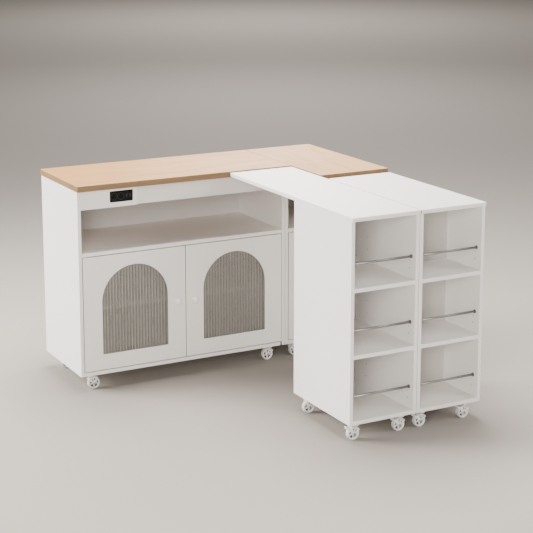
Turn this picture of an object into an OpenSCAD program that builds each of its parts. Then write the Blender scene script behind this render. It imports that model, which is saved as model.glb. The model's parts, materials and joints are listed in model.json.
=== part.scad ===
// Sewing table: a main cabinet and a side cabinet under an L of wooden tops, with two rolling
// shelf units whose long white tops finish the table. Millimetres, +Z up, +Y towards the back.
// The parts are drawn from the main cabinet's front left corner on the floor, and place() moves
// them so that the origin is the centre of the whole table's footprint.

/* [Heights] */
// Height of the wooden tops above the floor
table_h = 900; // [860:5:940]
// Height of the casters, from the floor to the underside of the carcasses
caster_h = 70; // [68:1:80]
// How far the white tops lie below the wooden tops
white_drop = 5; // [2:1:8]

/* [Boards] */
// Thickness of the wooden tops
wood_t = 25; // [22:1:30]
// Thickness of the upright side panels
panel_t = 15; // [15:1:18]
// Thickness of shelves, bottoms, doors and aprons
board_t = 16; // [15:1:18]
// Thickness of the back panels
back_t = 8; // [6:1:10]
// Thickness of the white tops
slab_t = 16; // [15:1:18]

/* [Cabinets] */
// Width of the main cabinet
main_w = 984; // [940:2:1020]
// Width of the side cabinet
side_w = 356; // [330:2:380]
// Depth of both cabinets
cab_d = 426; // [400:2:450]
// Gap between the two cabinets
cab_gap = 2; // [1:0.5:3]
// Height of the fixed shelf's underside above the floor
shelf_z = 592; // [580:2:600]
// Height of the inner shelf's underside above the floor
inner_shelf_z = 336; // [320:2:350]
// Height of the aprons under the wooden tops
apron_h = 82; // [78:1:86]
// Width of the board that carries the power outlet
outlet_board_w = 256; // [240:2:270]

/* [Wooden tops] */
// Overhang of the wood past the left and right faces
wood_side = 7; // [4:1:10]
// Overhang of the main top past the cabinet fronts
wood_front = 22; // [16:1:24]
// How far the side top reaches past the cabinet fronts
wing_front = 280; // [260:5:300]
// How far the seam between the tops lies to the right of the main cabinet
wood_seam = 22; // [18:1:26]
// Radius of the tops' outer corners in plan
wood_r = 12; // [8:1:16]

/* [Doors] */
// Gap all round the doors
door_gap = 2.5; // [2.5:0.5:3]
// Width of a main door's arched window
window_w = 304; // [280:2:310]
// Height of the windows' sill above the door's lower edge
sill_h = 68; // [60:1:76]
// Diameter of the door knobs
knob_d = 28; // [24:1:32]

/* [Shelf units] */
// Width of a shelf unit
unit_w = 307; // [300:1:308]
// Depth of a shelf unit
unit_d = 442; // [430:2:450]
// Distance from the cabinets' fronts to the units' backs
unit_away = 594; // [580:2:620]
// Gap between the two units
unit_gap = 3; // [3:1:5]
// Overhang of the white tops past the units' fronts
slab_front = 8; // [6:1:12]
// Gap between the side top's front edge and the right unit's top
wing_gap = 56; // [50:1:60]
// Distance from one shelf to the next
shelf_pitch = 265; // [260:1:267]
// Depth of the right unit's front compartments
half_depth = 235; // [220:5:250]
// Height of a rail's centre line above its shelf
rail_h = 90; // [80:1:100]
// Diameter of the rails
rail_d = 10; // [8:1:12]

/* [Casters] */
// Diameter of the wheels
wheel_d = 52; // [50:1:53]
// Width of the wheels
wheel_w = 20; // [18:1:22]
// Distance from the swivel axis to the wheel's axle
trail = 14; // [12:1:15]
// Inset of the units' casters from their side faces
unit_caster_x = 48; // [48:1:52]
// Inset of the cabinets' casters from their side faces
cab_caster_x = 56; // [52:1:60]
// Inset of the casters from the front faces
caster_front = 34; // [32:1:40]
// Inset of the casters from the back faces
caster_back = 62; // [50:1:70]

/* [Hidden] */
$fn = 64;
e = 0.5; // How far a cutter runs past the face that it cuts

// Levels
wood_z = table_h - wood_t; // underside of the wood, and top of the cabinets
slab_z = table_h - white_drop - slab_t; // underside of the white tops
apron_z = wood_z - apron_h;
floor_z = caster_h + board_t; // top of the bottom panels

// Cabinets, from left to right
side_x = main_w + cab_gap;
right_x = side_x + side_w;
seam_x = main_w + wood_seam;
inner_d = cab_d - back_t; // depth of the shelves, in front of the back panel
seam_gap = 0.6;
meeting_r = 0.5; // rounding of the wood's corners where the two tops meet
wing_r = 2; // rounding of the side top's front left corner
inner_setback = 60; // inner shelves behind the cabinets' fronts

// Shelf units
unit_front = -unit_away - unit_d;
unit_seam = 1; // left unit's right face from the seam between the wooden tops
left_unit_x = seam_x - unit_seam - unit_w;
right_unit_x = left_unit_x + unit_w + unit_gap;
slab_y = unit_front - slab_front;
slab_r = 4;
fit_gap = 1; // gap between a white top and the wood beside it
rail_set = 30; // rails behind the units' fronts
socket_d = 14;
socket_l = 6;

// Doors
door_clear = 3; // gap above and below the doors
door_z = floor_z + door_clear;
door_h = shelf_z - door_clear - door_z;
main_door_w = (main_w - 2 * panel_t - 3 * door_gap) / 2;
side_door_w = side_w - 2 * panel_t - 2 * door_gap;
crown_margin = 52; // door above the arches' crowns
window_top = door_h - crown_margin; // height of the crowns above the door's lower edge
side_window_w = side_door_w - (main_door_w - window_w);
rebate = 8;
glass_t = 5;
glass_y = 9; // face of the glass behind the door's front
knob_in = 40; // knob's centre from the door's free edge
knob_z = 343;
knob_r = 8; // rounding of the knob's rim
knob_out = 23; // projection of the knob
knob_neck_r = 6;
pivot_in = 6; // hinge pin from the door's outer edge and from its front face
pin_r = 2.5;
pin_l = 11;
bore_end = 1; // a hinge bore past the end of its pin
run_gap = 0.05; // radial clearance of a running pin

// Power outlet
outlet_w = 105;
outlet_h = 48;
outlet_right = 20; // from the outlet to the outlet board's right end
outlet_z = 838;
housing_in = 3; // the housing from the face plate's edge
bezel = 12; // width of the raised frame at the outlet's ends
bezel_trim = 2; // how much narrower the frame is above and below
bezel_t = 3;
bezel_r = 6;
outlet_board_y = 1; // front of the outlet board, behind the cabinet's front
outlet_t = 6; // thickness of the face plate
housing_l = 40;
outlet_x = panel_t + outlet_board_w - outlet_right - outlet_w / 2;
apron_y = board_t; // front of the recessed apron

// Link between the cabinets
link_w = 7;
link_y = 22;
link_r = 3;
link_half = 8; // half the depth of the smaller block, in the side cabinet
bolt_gap = 0.1; // radial gap round the bolt in the side panels
bolt_end = 2; // bolt past the inner face of the side cabinet's panel

// Casters
axle_z = wheel_d / 2;
axle_r = 3;
axle_end = 1.5; // axle head on the outside of the fork
axle_head_r = 5;
stem_r = 4;
plate_w = 42;
plate_t = 3;
hub_r = 8;
web_r = wheel_d / 2 - 6.5; // outer radius of the openings between the spokes
rim_r = wheel_d / 2 - 5.5; // inner radius of the wheel's rim
rim_ease = 2;
fork_t = 2.5;
boss_r = 7; // a fork's cheek round the axle
crown_t = 6; // height of the arms where they leave the crown
crown_set = 3; // top of the arms below the crown's top
hood_start = 60; // first angle of the hood above the axle
hood_end = 150;
ear_r = 4.2; // a fork's cheek round the pedal's pivot
cab_caster_set = 8; // the cabinets' front casters stand this much further back
fork_in = wheel_w / 2 + 1.2; // inner face of a fork's cheek
fork_out = fork_in + fork_t;
hood_in = wheel_d / 2 + 1.8;
hood_out = hood_in + 2.7;
crown_top = caster_h - 4.5;
pedal_a = 42; // angle of the pedal's pivot above the axle
pedal_r = hood_in + 3.7;
pedal_pin = 1.5;

// Footprint, and the shift that puts the origin at its centre
centre = [right_x / 2, (slab_y + cab_d) / 2, 0];

module place() {
    translate(-centre) children();
}

// A box given by its lowest and highest corners
module box(low, high) {
    translate(low) cube(high - low);
}

// A board of w by d with rounded corners in plan: front left, front right, back right, back left
module board(low, size, radii) {
    module corner(x, y, r, sx, sy) {
        translate([x, y]) difference() {
            translate([sx < 0 ? -r : 0, sy < 0 ? -r : 0]) square(r);
            circle(r);
        }
    }
    w = size.x;
    d = size.y;
    translate(low) linear_extrude(size.z) difference() {
        square([w, d]);
        corner(radii[0], radii[0], radii[0], -1, -1);
        corner(w - radii[1], radii[1], radii[1], 1, -1);
        corner(w - radii[2], d - radii[2], radii[2], 1, 1);
        corner(radii[3], d - radii[3], radii[3], -1, 1);
    }
}

module cylinder_x(r, l) {
    rotate([0, 90, 0]) cylinder(r = r, h = l);
}

module cylinder_y(r, l) {
    rotate([-90, 0, 0]) cylinder(r = r, h = l);
}

// Wooden tops

module main_top() {
    color("burlywood") place() board([-wood_side, -wood_front, wood_z],
        [seam_x - seam_gap + wood_side, cab_d + wood_front, wood_t],
        [wood_r, meeting_r, meeting_r, wood_r]);
}

module side_top() {
    color("burlywood") place() board([seam_x, -wing_front, wood_z],
        [right_x + wood_side - seam_x, cab_d + wing_front, wood_t],
        [wing_r, wood_r, wood_r, meeting_r]);
}

// Carcasses of the two cabinets

module side_panel(x) {
    box([x, 0, caster_h], [x + panel_t, cab_d, wood_z]);
}

// The hole for the link bolt, through both neighbouring side panels
module link_hole() {
    translate([main_w - panel_t - e, link_y, caster_h + board_t / 2])
        cylinder_x(link_r + bolt_gap, 2 * panel_t + cab_gap + 2 * e);
}

module main_left_panel() {
    color("white") place() side_panel(0);
}

module main_right_panel() {
    color("white") place() difference() {
        side_panel(main_w - panel_t);
        link_hole();
    }
}

module side_panels() {
    color("white") place() difference() {
        union() {
            side_panel(side_x);
            side_panel(right_x - panel_t);
        }
        link_hole();
    }
}

// A shelf between two side panels, from the front to the back panel
module shelf(x0, x1, z, setback = 0) {
    box([x0 + panel_t, setback, z], [x1 - panel_t, inner_d, z + board_t]);
}

module main_bottom_panel() {
    color("white") place() difference() {
        shelf(0, main_w, caster_h);
        box([main_w - panel_t - link_w, -e, caster_h - e],
            [main_w - panel_t + e, 2 * link_y, floor_z + e]);
    }
}

module main_shelf() {
    color("white") place() shelf(0, main_w, shelf_z);
}

module main_inner_shelf() {
    color("white") place() shelf(0, main_w, inner_shelf_z, inner_setback);
}

module side_shelves() {
    color("white") place() {
        notch_gap = 2;
        difference() {
            shelf(side_x, right_x, caster_h);
            box([side_x + panel_t - e, link_y - link_half - notch_gap, caster_h - e],
                [side_x + panel_t + link_w, 2 * link_y, floor_z + e]);
        }
        shelf(side_x, right_x, shelf_z);
        shelf(side_x, right_x, inner_shelf_z, inner_setback);
    }
}

module back_panel(x0, x1) {
    box([x0 + panel_t, inner_d, caster_h], [x1 - panel_t, cab_d, wood_z]);
}

module main_back_panel() {
    color("white") place() back_panel(0, main_w);
}

module side_back_panel() {
    color("white") place() back_panel(side_x, right_x);
}

// A hole for the outlet, smaller than its face plate by inset on each side
module outlet_hole(inset = 0) {
    front = -10;
    back = 50;
    box([outlet_x - outlet_w / 2 + inset, front, outlet_z - outlet_h / 2 + inset],
        [outlet_x + outlet_w / 2 - inset, back, outlet_z + outlet_h / 2 - inset]);
}

module main_apron() {
    color("white") place() difference() {
        box([panel_t, apron_y, apron_z], [main_w - panel_t, apron_y + board_t, wood_z]);
        outlet_hole(housing_in);
    }
}

module side_apron() {
    color("white") place()
        box([side_x + panel_t, apron_y, apron_z], [right_x - panel_t, apron_y + board_t, wood_z]);
}

// The forward board under the top's left end, with a raised frame round the outlet
module outlet_panel() {
    frame_w = outlet_w + 2 * bezel;
    frame_h = outlet_h + 2 * (bezel - bezel_trim);
    frame_back = outlet_board_y + 1;
    color("white") place() difference() {
        union() {
            box([panel_t, outlet_board_y, apron_z], [panel_t + outlet_board_w, apron_y, wood_z]);
            translate([outlet_x - frame_w / 2, frame_back, outlet_z - frame_h / 2])
                rotate([90, 0, 0]) board([0, 0, 0], [frame_w, frame_h, bezel_t],
                    [bezel_r, bezel_r, bezel_r, bezel_r]);
        }
        outlet_hole();
    }
}

// A black power strip: a face plate with two sockets and two charging ports, and its housing
module power_outlet() {
    socket_x = [-34, -2];
    port_x = [24, 40];
    slot_x = 6.3; // from a socket's middle to its slots
    slot = [2, 8 + e, 8];
    port = [4, 8 + e, 12];
    earth_r = 2.6;
    earth_z = -9;
    slip = 0.5;
    color([0.05, 0.05, 0.05]) place() translate([outlet_x, 0, outlet_z]) difference() {
        union() {
            translate([-outlet_w / 2 + slip, 0, -outlet_h / 2 + slip])
                cube([outlet_w - 2 * slip, outlet_t, outlet_h - 2 * slip]);
            translate([-outlet_w / 2 + housing_in, outlet_t, -outlet_h / 2 + housing_in])
                cube([outlet_w - 2 * housing_in, housing_l, outlet_h - 2 * housing_in]);
        }
        for (x = socket_x) {
            for (side = [-slot_x, slot_x]) translate([x + side - slot.x / 2, -e, 0]) cube(slot);
            translate([x, -e, earth_z]) cylinder_y(earth_r, slot.y);
        }
        for (x = port_x) translate([x - port.x / 2, -e, -port.z / 2]) cube(port);
    }
}

// Doors

// The arch of the windows, standing on the X axis and centred on the Y axis
module arch(w, h) {
    translate([-w / 2, 0]) square([w, h - w / 2]);
    translate([0, h - w / 2]) circle(w / 2, $fn = 120);
}

// An arch cut through a door's thickness, from y0 to y1
module arch_block(w, h, y0, y1) {
    translate([0, y1, 0]) rotate([90, 0, 0]) linear_extrude(y1 - y0) arch(w, h);
}

// A door with its hinge on the left: the outer front edge is rounded so that it clears the
// side panel, and a pin runs in a bore in the upper and the lower edge
module door_leaf(w, window) {
    ease = 2;
    difference() {
        linear_extrude(door_h) difference() {
            square([w, board_t]);
            difference() {
                square(ease);
                translate([ease, ease]) circle(ease);
            }
        }
        translate([w / 2, 0, sill_h]) {
            arch_block(window, window_top - sill_h, -e, board_t + e);
            translate([0, 0, -rebate]) arch_block(window + 2 * rebate,
                window_top - sill_h + 2 * rebate, glass_y, board_t + e);
        }
        for (z = [-e, door_h - pin_l - bore_end]) translate([pivot_in, pivot_in, z])
            cylinder(r = pin_r + run_gap, h = pin_l + bore_end + e);
    }
}

module door_glass(w, window) {
    slip = 0.5;
    translate([w / 2, 0, sill_h - rebate + slip])
        arch_block(window + 2 * rebate - 2 * slip, window_top - sill_h + 2 * rebate - 2 * slip,
            glass_y, glass_y + glass_t);
}

// A round knob with a fully rounded rim, on a short neck
module door_knob() {
    translate([0, 0, knob_z]) {
        translate([0, knob_r - knob_out, 0]) cylinder_y(knob_neck_r, knob_out - knob_r);
        rotate([90, 0, 0]) rotate_extrude() {
            translate([knob_d / 2 - knob_r, knob_out - knob_r]) intersection() {
                circle(knob_r);
                translate([0, -knob_r]) square([knob_r, 2 * knob_r]);
            }
            translate([0, knob_out - 2 * knob_r]) square([knob_d / 2 - knob_r, 2 * knob_r]);
        }
    }
}

// Moves a door drawn with its hinge at the origin to its place, mirrored if it opens to the right
module at_door(x, flip = false) {
    place() translate([x, 0, door_z]) mirror([flip ? 1 : 0, 0, 0]) children();
}

left_door_x = panel_t + door_gap;
right_door_x = main_w - panel_t - door_gap;
side_door_x = side_x + panel_t + door_gap;

module door_left() {
    color("white") at_door(left_door_x) door_leaf(main_door_w, window_w);
}

module door_left_glass() {
    color("gray") at_door(left_door_x) door_glass(main_door_w, window_w);
}

module door_right() {
    color("white") at_door(right_door_x, true) door_leaf(main_door_w, window_w);
}

module door_right_glass() {
    color("gray") at_door(right_door_x, true) door_glass(main_door_w, window_w);
}

module side_door() {
    color("white") at_door(side_door_x) door_leaf(side_door_w, side_window_w);
}

module side_door_glass() {
    color("gray") at_door(side_door_x) door_glass(side_door_w, side_window_w);
}

module door_left_knob() {
    color("white") place() translate([left_door_x + main_door_w - knob_in, 0, 0]) door_knob();
}

module door_right_knob() {
    color("white") place() translate([right_door_x - main_door_w + knob_in, 0, 0]) door_knob();
}

module side_door_knob() {
    color("white") place() translate([side_door_x + side_door_w - knob_in, 0, 0]) door_knob();
}

// Hinge pins on small plates, above and below each door
module hinge_pair(x, flip) {
    plate = [22, 12, 2];
    slip = 0.5; // from the side panel's inner face
    set = 1; // behind the carcass's front
    translate([x, 0, 0]) mirror([flip ? 1 : 0, 0, 0]) for (top = [false, true]) {
        translate([-door_gap + slip, set, top ? shelf_z - plate.z : floor_z]) cube(plate);
        translate([pivot_in, pivot_in, top ? shelf_z - door_clear - pin_l : floor_z])
            cylinder(r = pin_r, h = pin_l + door_clear);
    }
}

module door_hinges() {
    color("silver") place() {
        hinge_pair(left_door_x, false);
        hinge_pair(right_door_x, true);
        hinge_pair(side_door_x, false);
    }
}

// A black block in the main cabinet's lower right corner, bolted through to the side cabinet
module cabinet_link() {
    slip = 0.2;
    set = 1; // smaller block from the bottom panel's faces
    mid_z = caster_h + board_t / 2;
    color([0.05, 0.05, 0.05]) place() {
        box([main_w - panel_t - link_w + slip, 0, caster_h],
            [main_w - panel_t, 2 * link_y - slip, floor_z]);
        translate([main_w - panel_t - slip, link_y, mid_z])
            cylinder_x(link_r, 2 * panel_t + cab_gap + slip + bolt_end);
        box([side_x + panel_t, link_y - link_half, caster_h + set],
            [side_x + panel_t + link_w - slip, link_y + link_half, floor_z - set]);
    }
}

// Shelf units

// A white top: its left end lies at x, and it runs from the units' overhang back to y1
module unit_top(x, y1) {
    board([x, slab_y, slab_z], [unit_w, y1 - slab_y, slab_t], [slab_r, slab_r, slab_r, slab_r]);
}

module unit_sides(x) {
    for (dx = [0, unit_w - panel_t])
        box([x + dx, unit_front, caster_h], [x + dx + panel_t, -unit_away, slab_z]);
}

module unit_shelves(x, depth) {
    for (k = [0:2]) translate([x + panel_t, unit_front, caster_h + k * shelf_pitch])
        cube([unit_w - 2 * panel_t, depth, board_t]);
}

// A rail with its end sockets, once above each shelf
module unit_rails(x) {
    inner_w = unit_w - 2 * panel_t;
    for (k = [0:2])
        translate([x + panel_t, unit_front + rail_set, floor_z + k * shelf_pitch + rail_h]) {
            cylinder_x(rail_d / 2, inner_w);
            for (dx = [0, inner_w - socket_l]) translate([dx, 0, 0])
                cylinder_x(socket_d / 2, socket_l);
        }
}

module left_unit_top() {
    color("white") place() unit_top(left_unit_x, -wood_front - fit_gap);
}

module left_unit_sides() {
    color("white") place() unit_sides(left_unit_x);
}

module left_unit_shelves() {
    color("white") place() unit_shelves(left_unit_x, unit_d - back_t);
}

module left_unit_back() {
    color("white") place() box([left_unit_x + panel_t, -unit_away - back_t, caster_h],
        [left_unit_x + unit_w - panel_t, -unit_away, slab_z]);
}

module left_unit_rails() {
    color("silver") place() unit_rails(left_unit_x);
}

module right_unit_top() {
    color("white") place() unit_top(right_unit_x, -wing_front - wing_gap);
}

module right_unit_sides() {
    color("white") place() unit_sides(right_unit_x);
}

// The right unit's shelves are cut by its middle panel, and its rear half opens to the back
module right_unit_shelves() {
    color("white") place() difference() {
        unit_shelves(right_unit_x, unit_d);
        box([right_unit_x, unit_front + half_depth, caster_h + board_t],
            [right_unit_x + unit_w, unit_front + half_depth + back_t, slab_z]);
    }
}

module right_unit_back() {
    color("white") place()
        box([right_unit_x + panel_t, unit_front + half_depth, floor_z],
            [right_unit_x + unit_w - panel_t, unit_front + half_depth + back_t, slab_z]);
}

module right_unit_rails() {
    color("silver") place() unit_rails(right_unit_x);
}

// Casters, each drawn with its swivel axis on the Z axis and its wheel trailing towards +X

// The part of a ring between two angles
module ring_sector(r_in, r_out, a0, a1) {
    steps = 4;
    intersection() {
        difference() {
            circle(r_out);
            circle(r_in);
        }
        polygon([[0, 0], for (k = [0:steps]) let (a = a0 + (a1 - a0) * k / steps)
            2 * r_out * [cos(a), sin(a)]]);
    }
}

// Stands a shape drawn in X and Y up in the plane of the wheel, centred on y
module upright(t, y = 0) {
    translate([0, y + t / 2, 0]) rotate([90, 0, 0]) linear_extrude(t) children();
}

// The pedal's pivot, in the plane of the wheel
pedal_at = [trail + pedal_r * cos(pedal_a), axle_z + pedal_r * sin(pedal_a)];

module caster_plate() {
    screw = 15; // screws from the swivel axis, in X and Y
    screw_r = 3.2;
    race_r = 14;
    boss_h = 2; // height of the race and the screw heads, mostly sunk in the plate
    race_drop = 4; // underside of the race below the carcass
    screw_drop = 4.4;
    difference() {
        union() {
            translate([-plate_w / 2, -plate_w / 2, caster_h - plate_t])
                cube([plate_w, plate_w, plate_t]);
            translate([0, 0, caster_h - race_drop]) cylinder(r = race_r, h = boss_h);
            for (x = [-screw, screw], y = [-screw, screw])
                translate([x, y, caster_h - screw_drop]) cylinder(r = screw_r, h = boss_h);
        }
        translate([0, 0, caster_h - race_drop - e])
            cylinder(r = stem_r + run_gap, h = race_drop + 2 * e);
    }
}

module caster_wheel() {
    r = wheel_d / 2;
    spoke_w = 3.4;
    half = wheel_w / 2;
    translate([trail, 0, axle_z]) difference() {
        rotate([90, 0, 0]) rotate_extrude() {
            polygon([[rim_r, -half], [r - rim_ease, -half], [r, rim_ease - half],
                [r, half - rim_ease], [r - rim_ease, half], [rim_r, half]]);
            translate([0, -half / 2]) square([rim_r + e, half]);
            translate([0, -half]) square([hub_r, wheel_w]);
        }
        upright(wheel_w + 2 * e) difference() {
            circle(web_r);
            circle(hub_r);
            for (k = [0:4])
                rotate(90 + 72 * k) translate([0, -spoke_w / 2]) square([r, spoke_w]);
        }
        upright(wheel_w + 2 * e) circle(axle_r + run_gap);
    }
}

// One cheek of a fork: an arm from the crown down to the axle, and the hood's edge
module fork_cheek(ear) {
    arm_back = -12;
    arm_front = 6;
    arm_half = 6.5; // half the arm's width at the axle
    tilt = 2; // the arm's lower end lies this far below and above the axle
    arm_top = crown_top - crown_set;
    translate([trail, axle_z]) circle(boss_r);
    polygon([[arm_back, arm_top], [arm_back, arm_top - crown_t], [trail - arm_half, axle_z - tilt],
        [trail + arm_half, axle_z + tilt], [arm_front, arm_top]]);
    translate([trail, axle_z])
        ring_sector(hood_in, hood_out, ear ? pedal_a - 2 : hood_start, hood_end);
    if (ear) translate(pedal_at) circle(ear_r);
}

module caster_fork(ear) {
    crown_low = axle_z + 24; // underside of the crown, inside the hood
    stem_low = crown_top - 1;
    stem_top = caster_h - 0.5;
    difference() {
        union() {
            for (side = [-1, 1]) upright(fork_t, side * (fork_in + fork_t / 2)) fork_cheek(ear);
            upright(2 * fork_out) translate([trail, axle_z])
                ring_sector(hood_in, hood_out, hood_start + 2, hood_end);
            translate([0, 0, crown_low]) cylinder(r = fork_out, h = crown_top - crown_low);
        }
        translate([trail, 0, axle_z]) upright(2 * fork_in) circle(hood_in);
    }
    translate([0, 0, stem_low]) cylinder(r = stem_r, h = stem_top - stem_low);
    translate([trail, -fork_out - axle_end, axle_z])
        cylinder_y(axle_r, 2 * (fork_out + axle_end));
    for (y = [-fork_out - axle_end, fork_out]) translate([trail, y, axle_z])
        cylinder_y(axle_head_r, axle_end);
    if (ear) translate([pedal_at.x, -fork_out, pedal_at.y]) cylinder_y(pedal_pin, 2 * fork_out);
}

module caster_pedal() {
    w = 2 * fork_in - 0.8;
    bar_r = 3.4;
    tread_a = 38; // slope of the pedal's tread
    tread = [11.5, 2.6];
    tread_rise = 0.4;
    translate([pedal_at.x, 0, pedal_at.y]) upright(w) difference() {
        union() {
            circle(bar_r);
            rotate(tread_a) translate([0, tread_rise]) square(tread);
        }
        circle(pedal_pin + run_gap);
    }
}

// Caster places: [x, y, heading], where the heading turns the trailing wheel from +X
function unit_casters(x) = [
    [x + unit_caster_x, unit_front + caster_front, 180],
    [x + unit_w - unit_caster_x, unit_front + caster_front, 180],
    [x + unit_caster_x, -unit_away - caster_back, 180],
    [x + unit_w - unit_caster_x, -unit_away - caster_back, 180]];
function cabinet_casters_at(x0, x1) = [
    [x0 + cab_caster_x, caster_front + cab_caster_set, 0],
    [x1 - cab_caster_x, caster_front + cab_caster_set, 180],
    [x0 + cab_caster_x, cab_d - caster_back, 0],
    [x1 - cab_caster_x, cab_d - caster_back, 180]];

module at_caster(spot) {
    place() translate([spot.x, spot.y, 0]) rotate(spot.z) children();
}

module cabinet_casters() {
    color("whitesmoke")
        for (spot = concat(cabinet_casters_at(0, main_w), cabinet_casters_at(side_x, right_x)))
            at_caster(spot) {
                caster_plate();
                caster_fork(false);
                caster_wheel();
            }
}

module unit_caster_plates(x) {
    color("silver") for (spot = unit_casters(x)) at_caster(spot) caster_plate();
}

module left_unit_caster_plates() {
    unit_caster_plates(left_unit_x);
}

module right_unit_caster_plates() {
    unit_caster_plates(right_unit_x);
}

module fork_at(x, k) {
    color("whitesmoke") at_caster(unit_casters(x)[k]) caster_fork(k < 2);
}

module wheel_at(x, k) {
    color("white") at_caster(unit_casters(x)[k]) caster_wheel();
}

module pedal_at_corner(x, k) {
    color("whitesmoke") at_caster(unit_casters(x)[k]) caster_pedal();
}

main_top();
main_left_panel();
main_right_panel();
main_bottom_panel();
main_shelf();
main_inner_shelf();
main_back_panel();
main_apron();
outlet_panel();
power_outlet();
side_top();
side_panels();
side_shelves();
side_back_panel();
side_apron();
door_hinges();
cabinet_link();
cabinet_casters();
door_left();
door_left_glass();
door_left_knob();
door_right();
door_right_glass();
door_right_knob();
side_door();
side_door_glass();
side_door_knob();
left_unit_top();
left_unit_sides();
left_unit_shelves();
left_unit_back();
left_unit_rails();
left_unit_caster_plates();
right_unit_top();
right_unit_sides();
right_unit_shelves();
right_unit_back();
right_unit_rails();
right_unit_caster_plates();
fork_at(left_unit_x, 0);  // left_fork_fl
fork_at(left_unit_x, 1);  // left_fork_fr
fork_at(left_unit_x, 2);  // left_fork_bl
fork_at(left_unit_x, 3);  // left_fork_br
wheel_at(left_unit_x, 0);  // left_wheel_fl
wheel_at(left_unit_x, 1);  // left_wheel_fr
wheel_at(left_unit_x, 2);  // left_wheel_bl
wheel_at(left_unit_x, 3);  // left_wheel_br
pedal_at_corner(left_unit_x, 0);  // left_pedal_fl
pedal_at_corner(left_unit_x, 1);  // left_pedal_fr
fork_at(right_unit_x, 0);  // right_fork_fl
fork_at(right_unit_x, 1);  // right_fork_fr
fork_at(right_unit_x, 2);  // right_fork_bl
fork_at(right_unit_x, 3);  // right_fork_br
wheel_at(right_unit_x, 0);  // right_wheel_fl
wheel_at(right_unit_x, 1);  // right_wheel_fr
wheel_at(right_unit_x, 2);  // right_wheel_bl
wheel_at(right_unit_x, 3);  // right_wheel_br
pedal_at_corner(right_unit_x, 0);  // right_pedal_fl
pedal_at_corner(right_unit_x, 1);  // right_pedal_fr
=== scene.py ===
"""Looks of the sewing table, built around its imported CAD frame. Metres, +Z up, +Y towards the back."""

import json
import math

import bmesh
import bpy
from mathutils import Matrix, Vector


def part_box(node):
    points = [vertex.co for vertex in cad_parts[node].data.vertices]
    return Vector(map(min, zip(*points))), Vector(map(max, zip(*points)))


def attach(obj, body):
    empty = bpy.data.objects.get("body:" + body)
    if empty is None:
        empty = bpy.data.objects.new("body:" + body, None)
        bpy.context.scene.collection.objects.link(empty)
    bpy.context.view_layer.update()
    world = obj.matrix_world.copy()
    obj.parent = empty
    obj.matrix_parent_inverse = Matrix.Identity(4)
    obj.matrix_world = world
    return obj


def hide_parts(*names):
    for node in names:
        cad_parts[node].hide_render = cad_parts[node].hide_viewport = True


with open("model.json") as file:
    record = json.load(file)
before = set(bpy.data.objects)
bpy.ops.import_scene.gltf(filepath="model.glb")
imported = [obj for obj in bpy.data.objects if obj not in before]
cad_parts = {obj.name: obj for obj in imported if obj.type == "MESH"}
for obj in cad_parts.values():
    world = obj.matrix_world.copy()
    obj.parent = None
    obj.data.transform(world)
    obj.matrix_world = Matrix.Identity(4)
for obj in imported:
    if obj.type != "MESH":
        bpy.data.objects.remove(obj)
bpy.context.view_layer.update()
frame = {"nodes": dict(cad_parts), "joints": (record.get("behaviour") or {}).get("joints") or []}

MM = 0.001
UNITS = ("left", "right")
CORNERS = ("fl", "fr", "bl", "br")

# ---------------------------------------------------------------- materials

# The colour sockets of a Mix node.
MIX_A, MIX_B, MIX_RESULT = 6, 7, 2


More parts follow.
